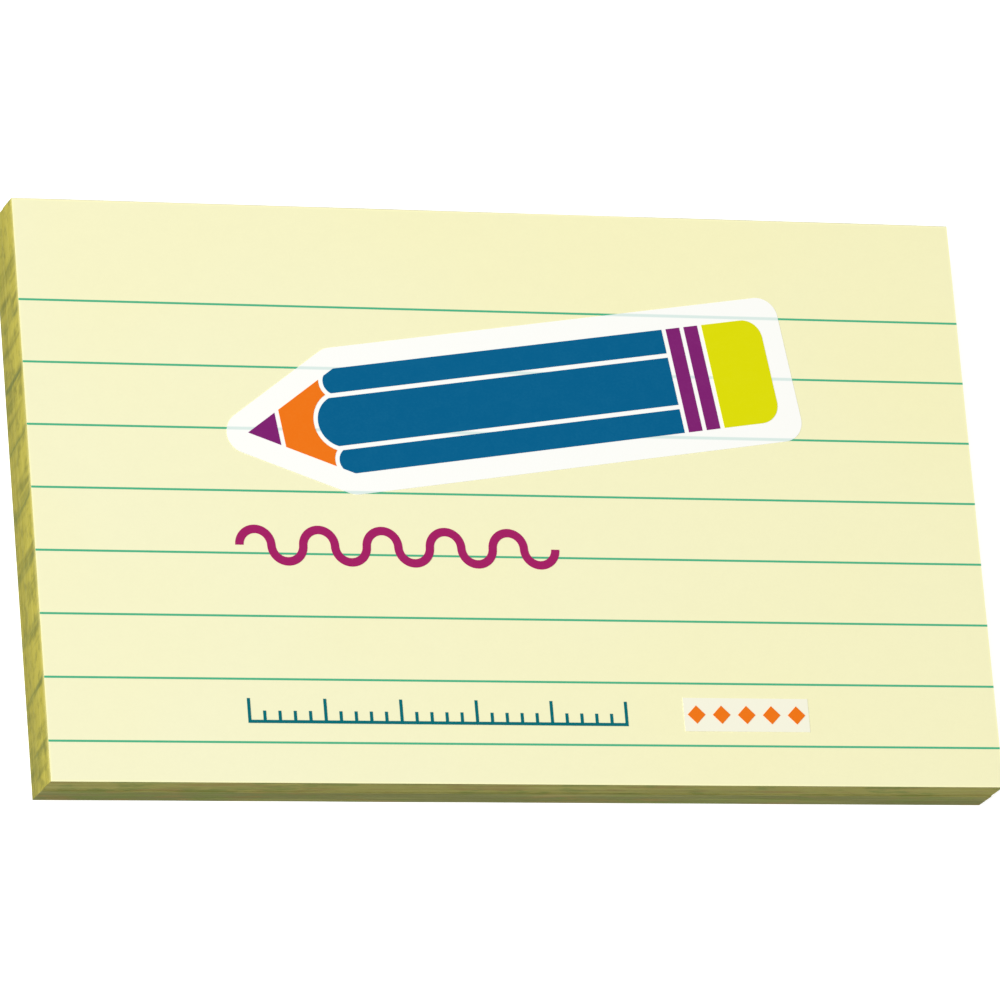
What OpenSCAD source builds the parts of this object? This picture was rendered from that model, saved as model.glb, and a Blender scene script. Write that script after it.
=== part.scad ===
// Sticky note pad: a block of ruled notes held along one long edge, on a coated backing sheet.
// The pad lies flat. X runs along the glued edge, Y points to it, and Z points up out of the top note.
// The origin is the middle of the underside.

/* [Note block] */
// Width of a note, along its glued edge
note_w = 127; // [100:0.5:200]
// Height of a note, from its free edge to its glued edge
note_h = 76; // [70:0.5:120]
// Number of sheets in the block
sheet_count = 100; // [20:1:200]
// Thickness of one sheet
sheet_t = 0.086; // [0.06:0.001:0.14]
// Furthest that a trimmed sheet strays sideways from its neighbours
edge_stray = 0.06; // [0.02:0.01:0.12]
// How far the lower half of the block slipped towards the free edge, under the upper half
bundle_slip = 0.12; // [0:0.01:0.3]

/* [Backing] */
// Thickness of the coated sheet under the block
backing_t = 0.1; // [0.06:0.01:0.4]
// Width of the adhesive band along the glued edge
adhesive_w = 16; // [8:0.5:30]
// Thickness of the adhesive band
adhesive_t = 0.02; // [0.01:0.005:0.04]
// Bare paper between the adhesive band and the edges of the sheet
adhesive_inset = 1.5; // [0.5:0.1:5]

/* [Ruling] */
// From the glued edge to the first ruled line
head_margin = 13.4; // [8:0.1:20]
// From one ruled line to the next
line_pitch = 8.2; // [5:0.1:12]
// Weight of a ruled line
line_weight = 0.28; // [0.2:0.01:0.8]
// How deep the ruling soaks into the top sheet
ruling_depth = 0.05; // [0.02:0.005:0.055]

/* [Printed pencil] */
// Thickness of one printed colour
ink_t = 0.05; // [0.02:0.005:0.1]
// From the glued edge to the top of the printed pencil's white border
print_head = 10.6; // [6:0.1:14]
// How far the pencil lies to the right of the pad's middle
print_shift = 1; // [-5:0.5:5]
// Length of the pencil, from its point to the end of its rubber
pencil_l = 72; // [60:0.5:80]
// Width of the pencil across its facets
pencil_w = 14; // [10:0.5:16]
// Turn of the pencil from the ruled lines, in degrees
pencil_turn = 8; // [2:0.5:12]
// Length of the sharpened cone
cone_l = 13; // [11:0.5:18]
// Length of the coloured point
point_l = 4; // [2:0.5:5]
// Length of the rubber
rubber_l = 8; // [5:0.5:12]
// Radius of the rubber's corners
rubber_r = 2.6; // [1:0.1:4]
// Length of the ferrule between the barrel and the rubber
ferrule_l = 5; // [3.5:0.5:8]
// Number of stripes on the ferrule
stripe_count = 2; // [1:1:4]
// White gap between two printed colours
colour_gap = 0.6; // [0.3:0.1:0.8]
// Width of the white border round the pencil
border_w = 2.8; // [1:0.1:4]

/* [Printed wave] */
// Radius of a half wave, along its middle
wave_r = 2.1; // [1.4:0.1:2.6]
// Weight of the wave's line
wave_weight = 1.1; // [0.5:0.1:1.6]
// Number of half waves
wave_count = 10; // [4:1:14]
// Paper left between the pencil's border and the wave
wave_gap = 4.2; // [2:0.1:6]

/* [Printed scale] */
// Length of the tick scale
scale_l = 50; // [30:1:56]
// From one tick to the next
tick_pitch = 2; // [1.5:0.1:4]
// Weight of the ticks and of the line under them
tick_weight = 0.4; // [0.2:0.05:0.6]
// Length of a short tick
tick_short = 1.6; // [1:0.1:2]
// Length of every fifth tick
tick_long = 3.2; // [2.2:0.1:4]
// Paper left between the scale and the diamond label
label_gap = 8; // [3:0.5:12]
// Width of the diamond label
label_w = 17; // [12:0.5:20]
// Height of the diamond label
label_h = 4.4; // [3:0.1:5]
// Number of diamonds on the label
diamond_count = 5; // [2:1:6]
// Width of a diamond, from point to point
diamond_w = 2.4; // [1.4:0.1:2.8]

/* [Hidden] */
$fn = 64;

// How far a cut runs past the solid that it cuts
past = 1;
// The strays follow the golden angle, in whole steps, so that some neighbours lie flush
stray_turn = 137.5;
stray_across = 61;
stray_steps = 3;
// A long tick every so many ticks
tick_group = 5;
// Least paper left under the last ruled line, in steps of the ruling
foot_steps = 0.5;

top_z = backing_t + sheet_count * sheet_t;
line_count = 1 + floor((note_h - head_margin) / line_pitch - foot_steps);

// Stations along the pencil, from its middle
tip_u = -pencil_l / 2;
cone_u = tip_u + cone_l;
rubber_u = pencil_l / 2 - rubber_l;
ferrule_u = rubber_u - ferrule_l;
stripe_l = (ferrule_l - stripe_count * colour_gap) / stripe_count;

// Room that the turned pencil and its border take above, below and beside its middle
pencil_rise = pencil_l / 2 * sin(pencil_turn) + pencil_w / 2 * cos(pencil_turn) + border_w;
pencil_drop = -cone_u * sin(pencil_turn) + pencil_w / 2 * cos(pencil_turn) + border_w;
pencil_reach = pencil_l / 2 * cos(pencil_turn) + border_w;
pencil_y = note_h / 2 - print_head - pencil_rise;

// The wave, the scale and the label start at the left end of the pencil's border
row_x = print_shift - pencil_reach;
wave_y = pencil_y - pencil_drop - wave_gap - wave_r - wave_weight / 2;
scale_y = line_y(line_count - 1) + (line_pitch - tick_long) / 2;
label_x = row_x + scale_l + label_gap;
tick_count = 1 + floor(scale_l / tick_pitch);

// Height of the middle of ruled line k, counted from the glued edge
function line_y(k) = note_h / 2 - head_margin - k * line_pitch;

// Sideways stray of sheet i, counted from below. The top sheet lies true.
function stray(i, phase) =
    i == sheet_count - 1 ? 0 : edge_stray * round(stray_steps * sin(stray_turn * i + phase)) / stray_steps;

// Slip of sheet i along Y. The two halves part evenly to both sides, and the top sheet lies true.
function slip(i) =
    i == sheet_count - 1 ? 0 : (2 * i < sheet_count ? -bundle_slip : bundle_slip) / 2;

// Half width of the sharpened cone at station u
function cone_half(u) = pencil_w / 2 * (u - tip_u) / cone_l;

// A rectangle of paper centred on the pad, with its underside at height z
module paper(z, thickness) {
    translate([-note_w / 2, -note_h / 2, z])
        cube([note_w, note_h, thickness]);
}

// The ruled lines, from depth below the top note to height above it, run past its sides by extra
module ruling(extra, above) {
    for (k = [0 : line_count - 1])
        translate([-note_w / 2 - extra, line_y(k) - line_weight / 2, top_z - ruling_depth])
            cube([note_w + 2 * extra, line_weight, ruling_depth + above]);
}

// The adhesive band's own room, which the last note leaves over the backing sheet
module adhesive_room() {
    translate([
        -note_w / 2 + adhesive_inset,
        note_h / 2 - adhesive_inset - adhesive_w,
        backing_t
    ])
        cube([note_w - 2 * adhesive_inset, adhesive_w, adhesive_t]);
}

// One flat colour on the top note, on top of so many others
module ink(level) {
    translate([0, 0, top_z + level * ink_t])
        linear_extrude(ink_t)
            children();
}

// Puts a flat shape into the pencil's place and turn
module on_pencil() {
    translate([print_shift, pencil_y])
        rotate(pencil_turn)
            children();
}

module pencil_outline() {
    polygon([
        [tip_u, 0],
        [cone_u, pencil_w / 2],
        [pencil_l / 2, pencil_w / 2],
        [pencil_l / 2, -pencil_w / 2],
        [cone_u, -pencil_w / 2]
    ]);
}

// The scalloped front of the barrel's three facets, grown by a gap where it cuts the cone
module scallops(grow) {
    translate([cone_u, 0])
        circle(pencil_w / 4 + grow);
    for (side = [-1, 1])
        translate([cone_u, side * pencil_w * 3 / 8])
            circle(pencil_w / 8 + grow);
}

module barrel() {
    difference() {
        intersection() {
            union() {
                translate([cone_u, -pencil_w / 2])
                    square([ferrule_u - colour_gap - cone_u, pencil_w]);
                scallops(0);
            }
            pencil_outline();
        }
        for (side = [-1, 1])
            translate([cone_u - pencil_w, side * pencil_w / 4 - colour_gap / 2])
                square([pencil_l, colour_gap]);
    }
}

module cone() {
    back_u = tip_u + point_l + colour_gap;
    difference() {
        polygon([
            [back_u, cone_half(back_u)],
            [cone_u, pencil_w / 2],
            [cone_u, -pencil_w / 2],
            [back_u, -cone_half(back_u)]
        ]);
        scallops(colour_gap);
        translate([cone_u - colour_gap, -pencil_w])
            square([pencil_w, 2 * pencil_w]);
    }
}

module point() {
    polygon([
        [tip_u, 0],
        [tip_u + point_l, cone_half(tip_u + point_l)],
        [tip_u + point_l, -cone_half(tip_u + point_l)]
    ]);
}

module ferrule_stripes() {
    for (k = [0 : stripe_count - 1])
        translate([ferrule_u + k * (stripe_l + colour_gap), -pencil_w / 2])
            square([stripe_l, pencil_w]);
}

module rubber() {
    translate([rubber_u, -pencil_w / 2])
        square([rubber_l - rubber_r, pencil_w]);
    translate([rubber_u, -pencil_w / 2 + rubber_r])
        square([rubber_l, pencil_w - 2 * rubber_r]);
    for (side = [-1, 1])
        translate([pencil_l / 2 - rubber_r, side * (pencil_w / 2 - rubber_r)])
            circle(rubber_r);
}

// Half a ring that opens downwards
module half_wave() {
    difference() {
        circle(wave_r + wave_weight / 2);
        circle(wave_r - wave_weight / 2);
        translate([-2 * wave_r - wave_weight, -2 * wave_r - wave_weight])
            square([4 * wave_r + 2 * wave_weight, 2 * wave_r + wave_weight]);
    }
}

module wave() {
    translate([row_x + wave_r + wave_weight / 2, wave_y])
        for (k = [0 : wave_count - 1])
            translate([2 * wave_r * k, 0])
                rotate(180 * (k % 2))
                    half_wave();
}

module tick_scale() {
    translate([row_x, scale_y])
        square([(tick_count - 1) * tick_pitch + tick_weight, tick_weight]);
    for (k = [0 : tick_count - 1])
        translate([row_x + k * tick_pitch, scale_y])
            square([tick_weight, k % tick_group == 0 ? tick_long : tick_short]);
}

module label_field() {
    translate([label_x, scale_y + (tick_long - label_h) / 2])
        square([label_w, label_h]);
}

module diamonds() {
    for (k = [0 : diamond_count - 1])
        translate([label_x + (k + 0.5) * label_w / diamond_count, scale_y + tick_long / 2])
            rotate(45)
                square(diamond_w / sqrt(2), center = true);
}

// All the notes as one block, each sheet strayed by its own small amount
module note_block() {
    color("#f5f3ca")
        difference() {
            union()
                for (i = [0 : sheet_count - 1])
                    translate([stray(i, 0), stray(i, stray_across) + slip(i), 0])
                        paper(backing_t + i * sheet_t, sheet_t);
            ruling(past, past);
            adhesive_room();
        }
}

module backing_sheet() {
    color("#efeede")
        paper(0, backing_t);
}

module adhesive_band() {
    color("#e9e6c8")
        adhesive_room();
}

module ruled_lines() {
    color("#6fae83")
        ruling(0, 0);
}

module white_print() {
    color("#fbfbf2")
        ink(0) {
            on_pencil()
                offset(r = border_w)
                    pencil_outline();
            label_field();
        }
}

module blue_print() {
    color("#006291")
        ink(1)
            on_pencil()
                barrel();
}

module orange_print() {
    color("#f07818")
        ink(1) {
            on_pencil()
                cone();
            diamonds();
        }
}

module lime_print() {
    color("#dedc02")
        ink(1)
            on_pencil()
                rubber();
}

module purple_print() {
    color("#7e2270")
        ink(1)
            on_pencil() {
                point();
                ferrule_stripes();
            }
}

module magenta_print() {
    color("#a81e64")
        ink(0)
            wave();
}

module teal_print() {
    color("#006e76")
        ink(0)
            tick_scale();
}

note_block();
backing_sheet();
adhesive_band();
ruled_lines();
white_print();
blue_print();
orange_print();
lime_print();
purple_print();
magenta_print();
teal_print();
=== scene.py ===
# Sticky note pad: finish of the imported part, its stack of sheets, floor, light and camera
import bpy
import bmesh
import math
import random
from mathutils import Matrix, Vector, noise


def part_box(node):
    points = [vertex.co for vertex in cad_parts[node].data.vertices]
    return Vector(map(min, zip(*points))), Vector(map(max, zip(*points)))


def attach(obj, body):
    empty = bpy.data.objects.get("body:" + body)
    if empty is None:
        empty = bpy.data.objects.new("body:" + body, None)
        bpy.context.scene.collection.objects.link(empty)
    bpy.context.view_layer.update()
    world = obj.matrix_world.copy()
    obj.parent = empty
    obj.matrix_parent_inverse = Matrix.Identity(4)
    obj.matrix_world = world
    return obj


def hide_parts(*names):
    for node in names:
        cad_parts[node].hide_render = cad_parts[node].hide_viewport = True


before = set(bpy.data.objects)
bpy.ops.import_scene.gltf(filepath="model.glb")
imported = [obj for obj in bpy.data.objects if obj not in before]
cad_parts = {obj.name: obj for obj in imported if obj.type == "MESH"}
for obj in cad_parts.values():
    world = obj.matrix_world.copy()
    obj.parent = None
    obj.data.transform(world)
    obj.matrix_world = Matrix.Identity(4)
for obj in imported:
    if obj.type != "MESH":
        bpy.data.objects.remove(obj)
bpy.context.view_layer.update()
print("frame loaded:", len(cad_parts), "nodes")

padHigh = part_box("backing_sheet")[1]          # upper corner of one note's true outline
blockLow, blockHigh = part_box("note_block")
rulingLow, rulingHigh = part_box("ruled_lines")


# screen colour, 0 to 255, as Blender's linear colour
def paint(screenColour):
    linear = []
    for part in screenColour:
        share = part / 255
        linear.append(share / 12.92 if share <= 0.04045 else ((share + 0.055) / 1.055) ** 2.4)
    return (*linear, 1.0)


# small helpers for node trees; a value may be a number, a colour or another node's socket
def feed(tree, socket, value):
    if isinstance(value, bpy.types.NodeSocket):
        tree.links.new(value, socket)
    else:
        socket.default_value = value


def addMath(tree, operation, first, second=0.0, third=0.0, clamp=False):
    node = tree.nodes.new("ShaderNodeMath")
    node.operation = operation
    node.use_clamp = clamp
    feed(tree, node.inputs[0], first)
    feed(tree, node.inputs[1], second)
    feed(tree, node.inputs[2], third)
    return node.outputs[0]


# noise lies around a half
def addCentred(tree, value):
    return addMath(tree, "SUBTRACT", value, 0.5)


def addRange(tree, value, fromLow, fromHigh, toLow=0.0, toHigh=1.0):
    node = tree.nodes.new("ShaderNodeMapRange")
    node.interpolation_type = "SMOOTHSTEP"
    feed(tree, node.inputs["Value"], value)
    feed(tree, node.inputs["From Min"], fromLow)
    feed(tree, node.inputs["From Max"], fromHigh)
    feed(tree, node.inputs["To Min"], toLow)
    feed(tree, node.inputs["To Max"], toHigh)
    return node.outputs["Result"]


def addMix(tree, factor, first, second):
    node = tree.nodes.new("ShaderNodeMix")
    node.data_type = "RGBA"
    feed(tree, node.inputs["Factor"], factor)
    feed(tree, node.inputs[6], first)
    feed(tree, node.inputs[7], second)
    return node.outputs[2]


def addNoise(tree, place, stretch, scale=1.0, detail=3.0, roughness=0.55, shift=(0.0, 0.0, 0.0), slant=0.0):
    if slant:
        lean = tree.nodes.new("ShaderNodeMapping")
        lean.inputs["Rotation"].default_value = (slant, 0, 0)
        feed(tree, lean.inputs["Vector"], place)
        place = lean.outputs["Vector"]
    mapping = tree.nodes.new("ShaderNodeMapping")
    feed(tree, mapping.inputs["Vector"], place)
    mapping.inputs["Scale"].default_value = stretch
    mapping.inputs["Location"].default_value = shift
    node = tree.nodes.new("ShaderNodeTexNoise")
    feed(tree, node.inputs["Vector"], mapping.outputs["Vector"])
    node.inputs["Scale"].default_value = scale
    node.inputs["Detail"].default_value = detail
    node.inputs["Roughness"].default_value = roughness
    return node.outputs["Fac"]


# relief from a height in metres
def addBump(tree, height):
    node = tree.nodes.new("ShaderNodeBump")
    node.inputs["Strength"].default_value = 1.0
    node.inputs["Distance"].default_value = 1.0
    feed(tree, node.inputs["Height"], height)
    return node.outputs["Normal"]


def objectPlace(tree):
    node = tree.nodes.new("ShaderNodeTexCoord")
    return node.outputs["Object"]


def splitPlace(tree, place):
    node = tree.nodes.new("ShaderNodeSeparateXYZ")
    feed(tree, node.inputs[0], place)
    return node.outputs["X"], node.outputs["Y"], node.outputs["Z"]


def newGroup(name, inputs, outputs):
    group = bpy.data.node_groups.new(name, "ShaderNodeTree")
    for label in inputs:
        group.interface.new_socket(name=label, in_out="INPUT", socket_type="NodeSocketFloat")
    for label in outputs:
        group.interface.new_socket(name=label, in_out="OUTPUT", socket_type="NodeSocketFloat")
    return group, group.nodes.new("NodeGroupInput"), group.nodes.new("NodeGroupOutput")


def useGroup(tree, group, **values):
    node = tree.nodes.new("ShaderNodeGroup")
    node.node_tree = group
    for label, value in values.items():
        feed(tree, node.inputs[label], value)
    return node


def newMaterial(name, roughness, specular):
    material = bpy.data.materials.new(name)
    material.use_nodes = True
    tree = material.node_tree
    shader = tree.nodes["Principled BSDF"]
    shader.inputs["Specular IOR Level"].default_value = specular
    shader.inputs["Roughness"].default_value = roughness
    return material, tree, shader


# paper fibres, for every surface of paper and for the ink that lies on it; scales are per metre
fibreLook = {
    "fine": {"stretch": (1.0, 1.6, 1.0), "scale": 2600, "detail": 4.0, "roughness": 0.6},
    "flock": {"stretch": (1.0, 1.3, 1.0), "scale": 520, "shift": (3.1, 0.4, 1.7)},     # soft clumps
    "cloud": {"stretch": (1.0, 1.0, 1.0), "scale": 26, "detail": 2.0, "roughness": 0.5,
              "shift": (0.7, 2.9, 5.3)},      # broad unevenness of the dye
    "fineShare": 0.6,                         # the rest is flock
    "cloudRange": (0.32, 0.68),
    "roughRange": (0.3, 0.7),                 # where the fibres change from smooth to rough
}


def makeFibreGroup():
    look = fibreLook
    group, start, end = newGroup("paperFibre", ["Grain"], ["Fibre", "Cloud", "Height"])
    place = objectPlace(group)
    fine = addNoise(group, place, **look["fine"])
    flock = addNoise(group, place, **look["flock"])
    cloud = addNoise(group, place, **look["cloud"])
    flockPart = addMath(group, "MULTIPLY", flock, 1 - look["fineShare"])
    blend = addMath(group, "MULTIPLY_ADD", fine, look["fineShare"], flockPart)
    fibre = addMath(group, "MULTIPLY_ADD", addCentred(group, blend), start.outputs["Grain"], 0.5)
    feed(group, end.inputs["Fibre"], fibre)
    feed(group, end.inputs["Cloud"], addRange(group, cloud, *look["cloudRange"]))
    feed(group, end.inputs["Height"], addMath(group, "MULTIPLY", fine, start.outputs["Grain"]))
    return group


# a material with the fibres in it, rougher where they stand up
def newFibreMaterial(name, fibres, rough, specular=0.5):
    material, tree, shader = newMaterial(name, sum(rough) / 2, specular)
    fibre = useGroup(tree, fibres, Grain=1.0)
    changing = addRange(tree, fibre.outputs["Fibre"], *fibreLook["roughRange"], *rough)
    feed(tree, shader.inputs["Roughness"], changing)
    return material, tree, shader, fibre


def feedFibreRelief(tree, shader, fibre, depth):
    height = addMath(tree, "MULTIPLY", fibre.outputs["Height"], depth)
    feed(tree, shader.inputs["Normal"], addBump(tree, height))


# distance from the nearest ruled line, for what shows through or at the ends of the ruling
rulingLook = {
    "lines": 8,
    "weight": 0.00028,
}
rulingStep = (rulingHigh.y - rulingLow.y - rulingLook["weight"]) / (rulingLook["lines"] - 1)
rulingTop = rulingHigh.y - rulingLook["weight"] / 2


def makeRulingGroup():
    # Wander shifts the ruling up or down, in metres; Half is half its weight, Soft the width of its edge
    group, start, end = newGroup("rulingNear", ["Wander", "Half", "Soft"], ["Mask"])
    y = splitPlace(group, objectPlace(group))[1]
    below = addMath(group, "ADD", addMath(group, "SUBTRACT", rulingTop, y), start.outputs["Wander"])
    step = addMath(group, "ROUND", addMath(group, "DIVIDE", below, rulingStep))
    kept = addMath(group, "MINIMUM", addMath(group, "MAXIMUM", step, 0.0), rulingLook["lines"] - 1)
    away = addMath(group, "ABSOLUTE", addMath(group, "MULTIPLY_ADD", kept, -rulingStep, below))
    outer = addMath(group, "ADD", start.outputs["Half"], start.outputs["Soft"])
    feed(group, end.inputs["Mask"], addRange(group, away, start.outputs["Half"], outer, 1.0, 0.0))
    return group


# note paper: pale face, deeper colour on the cut edges of the stack, partly the cut paper's own colour and
# partly painted shade
paperLook = {
    "rough": (0.82, 0.96),
    "gloss": 0.3,
    "face": (246, 244, 204),
    "faceSkin": 0.00003,             # how far down the colour of the face goes
    "warmFace": (248, 244, 194),     # towards the top and the right of the note; its red and green set a little high there as painted light against the lamp's falloff
    "warmMiddle": 0.42,              # share of the warm colour in the middle
    "warmSlope": 5.0,                # how much it gains per metre
    "warmCloud": 0.3,                # how uneven it is
    "rimHighlight": (255, 252, 200),          # painted highlight on the last bit of face before the cut
    "rimWidth": 0.00034,
    "endLitTop": (206, 198, 118),      # short sides, painted light in the sheets just under the face
    "paleDepth": 0.0013,
    "paleMost": 0.6,
    "endYellow": (168, 159, 61),     # short sides, near the face, lighter there as painted light
    "endOlive": (149, 142, 56),      # short sides, towards the back, darker there as painted shade
    "endDark": (104, 106, 42),
    "sheetFade": 0.3,                # how much single sheets move the change from yellow to olive
    "slabFade": 0.6,                 # how much the wide blade marks move it
    "slabShare": 0.65,               # share of the wide marks among all blade marks
    "lineEnd": (95, 104, 48),        # where the ruling reaches the cut
    "lineSway": 0.004,               # how far that spot wanders from sheet to sheet
    "lineLean": 0.0014,              # how far it has moved at the lowest sheet
    "lineSoft": 0.0012,
    "longPale": (147, 143, 70),      # long sides, upper half, paler as painted light
    "longDeep": (117, 119, 62),      # long sides, lower half, darker as painted shade
    "halfUneven": 0.3,               # how uneven the change between the halves is
    "longBrown": (137, 119, 60),
    "longGreen": (110, 124, 52),
    "longLight": (168, 166, 94),
    "ledgeSkin": 0.000003,           # what lies this near to half height is the ledge
    "fibreShade": 0.06,              # difference between light and dark fibres
    "fibreDepth": 0.00001,
    "edgeDepth": 0.00005,
    # patterns; a stretch is how fast one changes along X, Y and Z, per metre
    "patterns": {
        # wide blade marks of the short sides
        "slabs": {"stretch": (60, 380, 60), "detail": 2.0, "roughness": 0.5,
                  "shift": (0.0, 7.0, 2.0), "slant": 0.25},
        # narrow blade marks
        "strokes": {"stretch": (200, 1100, 120), "roughness": 0.6, "shift": (5.0, 3.0, 1.0), "slant": 0.2},
        # soft stains of the short sides
        "blots": {"stretch": (500, 560, 620), "roughness": 0.6, "shift": (1.0, 8.0, 6.0)},
        "layers": {"stretch": (40, 40, 1300), "detail": 4.0, "roughness": 0.6},
        "sway": {"stretch": (10, 10, 220), "detail": 2.0, "roughness": 0.5, "shift": (2.0, 5.0, 0.0)},
        # streaks of the long sides, for their relief and for painted light and shadow between the sheets
        "runs": {"stretch": (22, 22, 1500), "detail": 4.0, "roughness": 0.6, "shift": (4.0, 1.0, 0.0)},
        "patches": {"stretch": (120, 120, 560), "shift": (9.0, 3.0, 1.0)},
        "tints": {"stretch": (170, 170, 480), "roughness": 0.6, "shift": (3.0, 6.0, 8.0)},
    },
    # masks: the pattern's value at the least and at the most effect, then these two effects
    "masks": {
        "fade": (0.25, 1.2, 0.0, 1.0),
        "stains": (0.46, 0.7, 0.0, 0.55),
        "bladeMarks": (0.5, 0.66, 0.0, 0.7),
        "lineEnds": (0.4, 0.62, 0.25, 0.75),
        "litUpperHalf": (0.4, 0.54, 0.0, 1.0),
        "brownPatches": (0.5, 0.64, 0.0, 0.7),
        "greenTints": (0.5, 0.64, 0.0, 0.7),
        "litRuns": (0.5, 0.68, 0.0, 0.5),
        "shadowRuns": (0.5, 0.34, 0.0, 0.45),
        "ledgeNicks": (0.56, 0.36, 0.4, 1.0),
    },
}


def makeNotePaper(fibres, ruling):
    look = paperLook
    material, tree, shader, fibre = newFibreMaterial("notePaper", fibres, look["rough"], look["gloss"])
    place = objectPlace(tree)
    x, y, z = splitPlace(tree, place)

    def pattern(name):
        return addNoise(tree, place, **look["patterns"][name])

    def mask(name, value):
        return addRange(tree, value, *look["masks"][name])

    def tint(base, share, colour):
        return addMix(tree, share, base, paint(look[colour]))

    # face, with a slow drift of colour and a painted highlight along the rim
    # towards the top and the right the red and green are a little high, painted light against the lamp's
    # falloff
    drift = addMath(tree, "MULTIPLY_ADD", addMath(tree, "ADD", x, y), look["warmSlope"], look["warmMiddle"])
    drift = addMath(tree, "MULTIPLY_ADD", fibre.outputs["Cloud"], look["warmCloud"], drift, clamp=True)
    face = tint(paint(look["face"]), drift, "warmFace")
    fromSide = addMath(tree, "SUBTRACT", padHigh.x, addMath(tree, "ABSOLUTE", x))
    fromEnd = addMath(tree, "SUBTRACT", padHigh.y, addMath(tree, "ABSOLUTE", y))
    fromCut = addMath(tree, "MINIMUM", fromSide, fromEnd)
    # painted highlight along the rim of the face
    face = tint(face, addRange(tree, fromCut, 0.0, look["rimWidth"], 1.0, 0.0), "rimHighlight")

    # short sides: lighter towards the face and darker towards the lowest sheet as painted light and shade,
    # blade marks that slant across the sheets, soft stains, ends of the ruling
    rise = addRange(tree, z, blockLow.z, blockHigh.z)        # 0 at the lowest sheet, 1 at the top note
    slabs = pattern("slabs")
    strokes = pattern("strokes")
    fade = addMath(tree, "MULTIPLY_ADD", addCentred(tree, pattern("layers")), look["sheetFade"], rise)
    fade = mask("fade", addMath(tree, "MULTIPLY_ADD", slabs, look["slabFade"], fade))
    shortSide = tint(paint(look["endOlive"]), fade, "endYellow")
    shortSide = tint(shortSide, mask("stains", pattern("blots")), "endDark")
    marks = addMath(tree, "MULTIPLY", slabs, look["slabShare"])
    marks = addMath(tree, "MULTIPLY_ADD", strokes, 1 - look["slabShare"], marks)
    shortSide = tint(shortSide, mask("bladeMarks", marks), "endDark")
    wander = addMath(tree, "MULTIPLY", addCentred(tree, pattern("sway")), look["lineSway"])
    wander = addMath(tree, "MULTIPLY_ADD", addMath(tree, "SUBTRACT", rise, 1.0), look["lineLean"], wander)
    ends = useGroup(tree, ruling, Wander=wander, Half=0.0, Soft=look["lineSoft"])
    endMask = addMath(tree, "MULTIPLY", ends.outputs["Mask"], mask("lineEnds", strokes))
    shortSide = tint(shortSide, endMask, "lineEnd")
    # painted light in the top sheets, just under the face
    pale = addRange(tree, z, blockHigh.z - look["paleDepth"], blockHigh.z, 0.0, look["paleMost"])
    shortSide = tint(shortSide, pale, "endLitTop")

    # long sides: darker and greyer than the short sides as painted shade, streaks along the sheets painted
    # as light and shadow between them, a paler upper half and a darker lower half as painted light and
    # shade, light nicks on the ledge between the halves
    runs = pattern("runs")
    patches = pattern("patches")
    tints = pattern("tints")
    upper = addMath(tree, "MULTIPLY_ADD", addCentred(tree, patches), look["halfUneven"], rise)
    longSide = tint(paint(look["longDeep"]), mask("litUpperHalf", upper), "longPale")
    longSide = tint(longSide, mask("brownPatches", patches), "longBrown")
    longSide = tint(longSide, mask("greenTints", tints), "longGreen")
    # painted light and shadow between the sheets, in streaks
    longSide = tint(longSide, mask("litRuns", runs), "longLight")
    longSide = tint(longSide, mask("shadowRuns", runs), "longDeep")
    halfHeight = (blockLow.z + blockHigh.z) / 2
    fromHalf = addMath(tree, "ABSOLUTE", addMath(tree, "SUBTRACT", z, halfHeight))
    ledge = addMath(tree, "LESS_THAN", fromHalf, look["ledgeSkin"])
    longSide = tint(longSide, addMath(tree, "MULTIPLY", ledge, mask("ledgeNicks", tints)), "longLight")

    # all together, with the shade and relief of the fibres and of the cut
    onShort = addMath(tree, "LESS_THAN", fromSide, fromEnd)
    onCut = addMath(tree, "LESS_THAN", z, blockHigh.z - look["faceSkin"])
    colour = addMix(tree, onCut, face, addMix(tree, onShort, longSide, shortSide))
    shade = addCentred(tree, fibre.outputs["Fibre"])
    shade = addMath(tree, "MULTIPLY_ADD", shade, look["fibreShade"], 1.0)
    shaded = tree.nodes.new("ShaderNodeVectorMath")
    shaded.operation = "SCALE"
    feed(tree, shaded.inputs[0], colour)
    feed(tree, shaded.inputs["Scale"], shade)
    feed(tree, shader.inputs["Base Color"], shaded.outputs["Vector"])
    cutHeight = addMath(tree, "MULTIPLY", addMix(tree, onShort, runs, strokes), onCut)
    height = addMath(tree, "MULTIPLY", fibre.outputs["Height"], look["fibreDepth"])
    height = addMath(tree, "MULTIPLY_ADD", cutHeight, look["edgeDepth"], height)
    feed(tree, shader.inputs["Normal"], addBump(tree, height))
    return material


# printed colours, soaked in and nearly matt
inkLook = {
    "gloss": 0.08,
    "thin": 0.02,                  # how much paler the ink is between the fibres
    "thinRange": (0.42, 0.66),     # where the fibres make it so
    "depth": 0.000005,             # relief of the fibres under the ink
    "inks": {
        "ruled_lines": {"colour": (78, 180, 134), "rough": (0.79, 0.93)},
        "blue_print": {"colour": (0, 96, 141), "rough": (0.49, 0.63)},
        "orange_print": {"colour": (241, 118, 20), "rough": (0.49, 0.63)},
        "lime_print": {"colour": (223, 222, 2), "rough": (0.49, 0.63)},
        "purple_print": {"colour": (127, 32, 112), "rough": (0.49, 0.63)},
        "magenta_print": {"colour": (164, 30, 99), "rough": (0.54, 0.68)},
        "teal_print": {"colour": (0, 106, 114), "rough": (0.54, 0.68)},
    },
}


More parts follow.
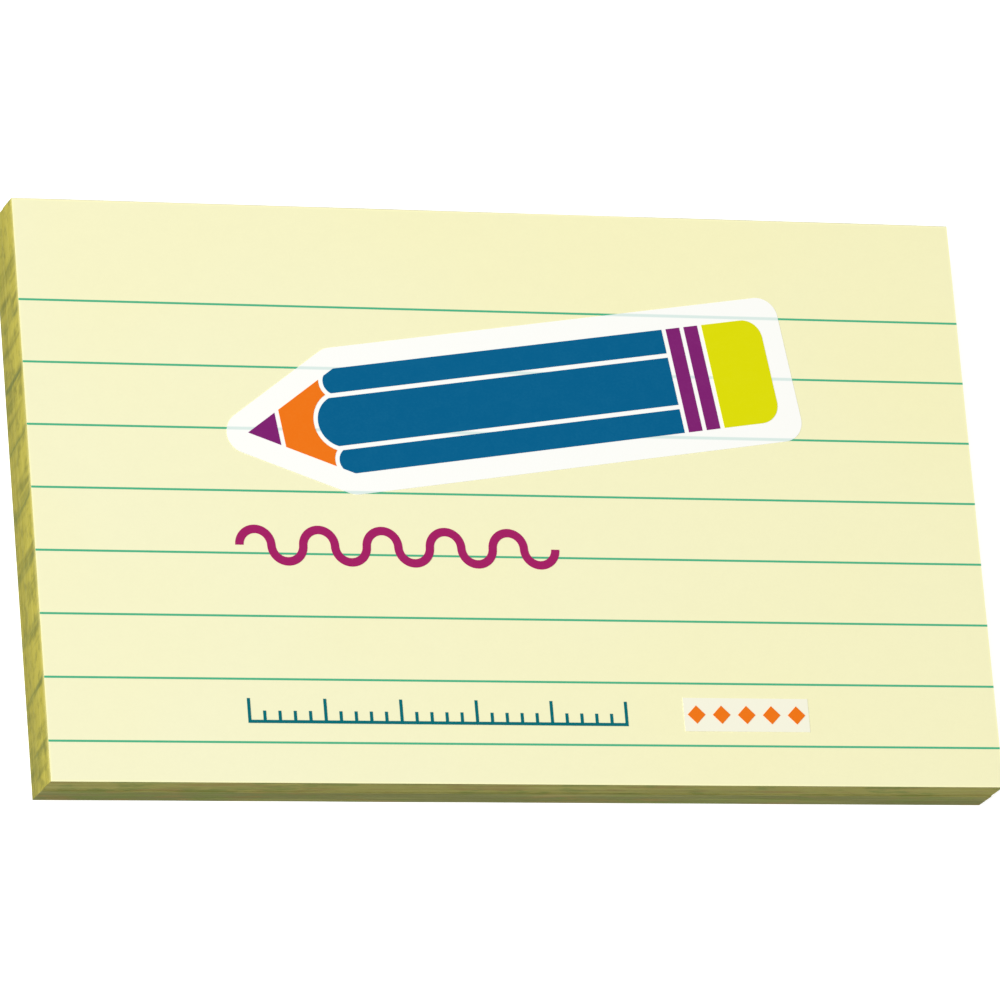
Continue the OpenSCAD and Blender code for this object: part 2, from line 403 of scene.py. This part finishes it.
def makeInk(name, ink, fibres):
    material, tree, shader, fibre = newFibreMaterial(name, fibres, ink["rough"], inkLook["gloss"])
    full = paint(ink["colour"])
    thin = paint([part + (255 - part) * inkLook["thin"] for part in ink["colour"]])
    worn = addRange(tree, fibre.outputs["Fibre"], *inkLook["thinRange"])
    feed(tree, shader.inputs["Base Color"], addMix(tree, worn, full, thin))
    feedFibreRelief(tree, shader, fibre, inkLook["depth"])
    return material


# white print lets the ruling under it show through a little
whiteLook = {
    "rough": (0.5, 0.64),
    "white": (255, 255, 252),
    "soft": (254, 254, 247),
    "ghost": (222, 238, 232),
    "ghostHalf": 0.00012,
    "ghostSoft": 0.00016,
    "thin": (248, 246, 225),     # the small label, printed so thinly that the paper tints it
    "thinBelow": -0.015,         # the small label lies below this
}


def makeWhiteInk(fibres, ruling):
    look = whiteLook
    material, tree, shader, fibre = newFibreMaterial("whiteInk", fibres, look["rough"], inkLook["gloss"])
    y = splitPlace(tree, objectPlace(tree))[1]
    colour = addMix(tree, fibre.outputs["Fibre"], paint(look["white"]), paint(look["soft"]))
    colour = addMix(tree, addMath(tree, "LESS_THAN", y, look["thinBelow"]), colour, paint(look["thin"]))
    ghost = useGroup(tree, ruling, Wander=0.0, Half=look["ghostHalf"], Soft=look["ghostSoft"])
    colour = addMix(tree, ghost.outputs["Mask"], colour, paint(look["ghost"]))
    feed(tree, shader.inputs["Base Color"], colour)
    feedFibreRelief(tree, shader, fibre, inkLook["depth"])
    return material


# what lies under the notes: a satin backing sheet and the band of low-tack adhesive
underLook = {
    "coatedBacking": {
        "pale": (238, 237, 222),
        "deep": (231, 229, 210),
        "rough": (0.38, 0.53),
        "depth": 0.000006,
    },
    "adhesive": {
        "pale": (233, 230, 202),
        "deep": (224, 219, 180),
        "rough": (0.23, 0.38),
        "depth": 0.00001,
    },
}


def makeUnder(name, fibres):
    look = underLook[name]
    material, tree, shader, fibre = newFibreMaterial(name, fibres, look["rough"])
    colour = addMix(tree, fibre.outputs["Cloud"], paint(look["pale"]), paint(look["deep"]))
    feed(tree, shader.inputs["Base Color"], colour)
    feedFibreRelief(tree, shader, fibre, look["depth"])
    return material


def dress(name, material):
    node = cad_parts[name]
    node.data.materials.clear()
    node.data.materials.append(material)


fibreGroup = makeFibreGroup()
rulingGroup = makeRulingGroup()
notePaper = makeNotePaper(fibreGroup, rulingGroup)
for nodeName, ink in inkLook["inks"].items():
    dress(nodeName, makeInk(nodeName + "Ink", ink, fibreGroup))
dress("white_print", makeWhiteInk(fibreGroup, rulingGroup))
dress("backing_sheet", makeUnder("coatedBacking", fibreGroup))
dress("adhesive_band", makeUnder("adhesive", fibreGroup))
dress("note_block", notePaper)
print("materials made:", len(bpy.data.materials))


# the stack, sheet by sheet
stackLook = {
    "sheets": 100,
    "longSteps": 96,          # points along a long edge
    "shortSteps": 58,
    "inset": 0.00001,         # mean place of the cut edges inside the true outline
    "halfSlip": 0.00006,      # the lower half slipped this far to the free edge, the upper one back
    "ownStray": 0.00001,      # how far each sheet strays by itself
    "packetStray": 0.00002,   # how far bundles of sheets slipped together
    "packetChange": 0.11,     # how much of that changes from sheet to sheet
    "edgeWave": 0.00002,      # how far a cut edge wanders along its length
    "waveLength": 0.014,
    "waveChange": 0.35,       # how much of the wave changes from sheet to sheet
    "sink": 0.000004,         # keeps the face just under the ruling and the print
    "seed": 12,
}
nearby = 1e-6                 # points closer than this are at the same place
rankStep = 1e6                # more than the point numbers of one four-sided face add up to


def makeShifts():
    look = stackLook
    rng = random.Random(look["seed"])
    shifts = []
    for sheet in range(look["sheets"]):
        aside = noise.noise(Vector((sheet * look["packetChange"], 4.0, 9.0)))
        back = noise.noise(Vector((sheet * look["packetChange"], 14.0, 3.0)))
        packet = Vector((aside, back, 0)) * look["packetStray"]
        own = Vector((rng.uniform(-1, 1), rng.uniform(-1, 1), 0)) * look["ownStray"]
        slip = math.copysign(look["halfSlip"], 2 * sheet + 1 - look["sheets"])
        shifts.append(packet + own + Vector((0, slip, 0)))
    shifts[-1] = Vector((0, 0, 0))                  # the top note lies true under its ruling
    return shifts


def makeStack():
    look = stackLook
    shifts = makeShifts()
    topSheet = look["sheets"] - 1
    sheetHeight = (blockHigh.z - blockLow.z) / look["sheets"]

    bm = bmesh.new()
    outline = bm.verts.layers.float_vector.new("outline")
    bmesh.ops.create_grid(bm, x_segments=1, y_segments=1, size=1)
    bmesh.ops.scale(bm, vec=(padHigh.x, padHigh.y, 1), verts=bm.verts)
    bmesh.ops.translate(bm, vec=(0, 0, blockLow.z), verts=bm.verts)
    longEdges = [e for e in bm.edges if abs(e.verts[0].co.y - e.verts[1].co.y) < nearby]
    shortEdges = [e for e in bm.edges if abs(e.verts[0].co.x - e.verts[1].co.x) < nearby]
    bmesh.ops.bisect_edges(bm, edges=longEdges, cuts=look["longSteps"] - 1)
    bmesh.ops.bisect_edges(bm, edges=shortEdges, cuts=look["shortSteps"] - 1)
    for vert in bm.verts:
        vert[outline] = vert.co.copy()

    # puts a cap's points on the strayed and wandering outline of one sheet
    def place(verts, sheet, height):
        for vert in verts:
            spot = vert[outline]
            along = Vector((spot.x, spot.y, 0)) / look["waveLength"]
            wave = noise.noise(along + Vector((0, 0, sheet * look["waveChange"])))
            out = wave * look["edgeWave"] - look["inset"] * (sheet < topSheet)
            x = spot.x + shifts[sheet].x
            y = spot.y + shifts[sheet].y
            if abs(spot.x) > padHigh.x - nearby:
                x += math.copysign(out, spot.x)
            if abs(spot.y) > padHigh.y - nearby:
                y += math.copysign(out, spot.y)
            x = min(max(x, blockLow.x), blockHigh.x)
            y = min(max(y, blockLow.y), blockHigh.y)
            vert.co = (x, y, height)

    def pull(cap):
        made = bmesh.ops.extrude_face_region(bm, geom=[cap])
        if cap != bottom:
            bmesh.ops.delete(bm, geom=[cap], context="FACES_ONLY")
        return next(item for item in made["geom"] if isinstance(item, bmesh.types.BMFace))

    # the operators leave the faces in another order on each run; this rank makes it the same
    def rank(face):
        points = [vert.index for vert in face.verts]
        return min(points) * rankStep + sum(points)

    bottom = bm.faces[:][0]
    place(bottom.verts, 0, blockLow.z)
    cap = bottom
    for sheet in range(look["sheets"]):
        top = blockLow.z + sheetHeight * (sheet + 1)
        if sheet == topSheet:
            top -= look["sink"]
        cap = pull(cap)
        place(cap.verts, sheet, top)
        if sheet < topSheet:
            cap = pull(cap)
            place(cap.verts, sheet + 1, top)
    bmesh.ops.recalc_face_normals(bm, faces=bm.faces)
    bm.verts.index_update()
    bm.faces.sort(key=rank)
    mesh = bpy.data.meshes.new("noteSheets")
    bm.to_mesh(mesh)
    bm.free()
    stack = bpy.data.objects.new("noteSheets", mesh)
    bpy.context.scene.collection.objects.link(stack)
    mesh.materials.append(notePaper)
    return stack


noteSheets = makeStack()
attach(noteSheets, "root")
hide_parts("note_block")
print("stack made:", len(noteSheets.data.polygons), "faces")


# floor and light
floorLook = {
    "size": 12.0,
    "colour": (198, 198, 198),
    "rough": 0.9,
    "gloss": 0.2,
    "glow": 0.8,          # a lit table, so that the ground stays white up to the pad
}


def makeFloor():
    look = floorLook
    bm = bmesh.new()
    bmesh.ops.create_grid(bm, x_segments=1, y_segments=1, size=look["size"] / 2)
    mesh = bpy.data.meshes.new("floor")
    bm.to_mesh(mesh)
    bm.free()
    floor = bpy.data.objects.new("floor", mesh)
    bpy.context.scene.collection.objects.link(floor)
    material, tree, shader = newMaterial("floorPaint", look["rough"], look["gloss"])
    shader.inputs["Base Color"].default_value = paint(look["colour"])
    shader.inputs["Emission Color"].default_value = (1, 1, 1, 1)
    shader.inputs["Emission Strength"].default_value = look["glow"]
    mesh.materials.append(material)
    return floor


makeFloor()

lightLook = {
    "skyStrength": 0.27,
    "keyWatts": 112.0,
    "keySize": 3.0,
    "keyPlace": (-2.0, -0.15, 2.4),
}


def makeLight():
    look = lightLook
    world = bpy.data.worlds.new("softSky")
    world.use_nodes = True
    sky = world.node_tree.nodes["Background"]
    sky.inputs["Color"].default_value = (1, 1, 1, 1)
    sky.inputs["Strength"].default_value = look["skyStrength"]
    bpy.context.scene.world = world
    lamp = bpy.data.lights.new("key", "AREA")
    lamp.shape = "DISK"
    lamp.size = look["keySize"]
    lamp.energy = look["keyWatts"]
    key = bpy.data.objects.new("key", lamp)
    key.location = look["keyPlace"]
    key.rotation_euler = (-key.location).to_track_quat("-Z", "Y").to_euler()
    bpy.context.scene.collection.objects.link(key)


makeLight()
bpy.context.scene.view_settings.view_transform = "Standard"

# camera: turned about the middle of the pad's face as the photograph is
cameraLook = {
    "lens": 293.4,
    "sensor": 36,
    "distance": 1.0352,
    "aside": (-0.0016, -0.00057),
    "turn": 20.09,      # to the left of the face, degrees
    "tilt": -16.44,     # towards the free edge
    "roll": 4.85,
    "clip": (0.01, 50),
}


def makeCamera():
    look = cameraLook
    turned = (
        Matrix.Rotation(math.radians(look["roll"]), 3, "Z")
        @ Matrix.Rotation(math.radians(look["tilt"]), 3, "X")
        @ Matrix.Rotation(math.radians(look["turn"]), 3, "Y")
    ).transposed()
    data = bpy.data.cameras.new("photoView")
    data.lens = look["lens"]
    data.sensor_width = look["sensor"]
    data.clip_start, data.clip_end = look["clip"]
    camera = bpy.data.objects.new("photoView", data)
    faceMiddle = Vector((0, 0, blockHigh.z))
    camera.location = faceMiddle + turned @ Vector((*look["aside"], look["distance"]))
    camera.rotation_euler = turned.to_euler()
    bpy.context.scene.collection.objects.link(camera)
    bpy.context.scene.camera = camera


makeCamera()
print("floor, light and camera made")
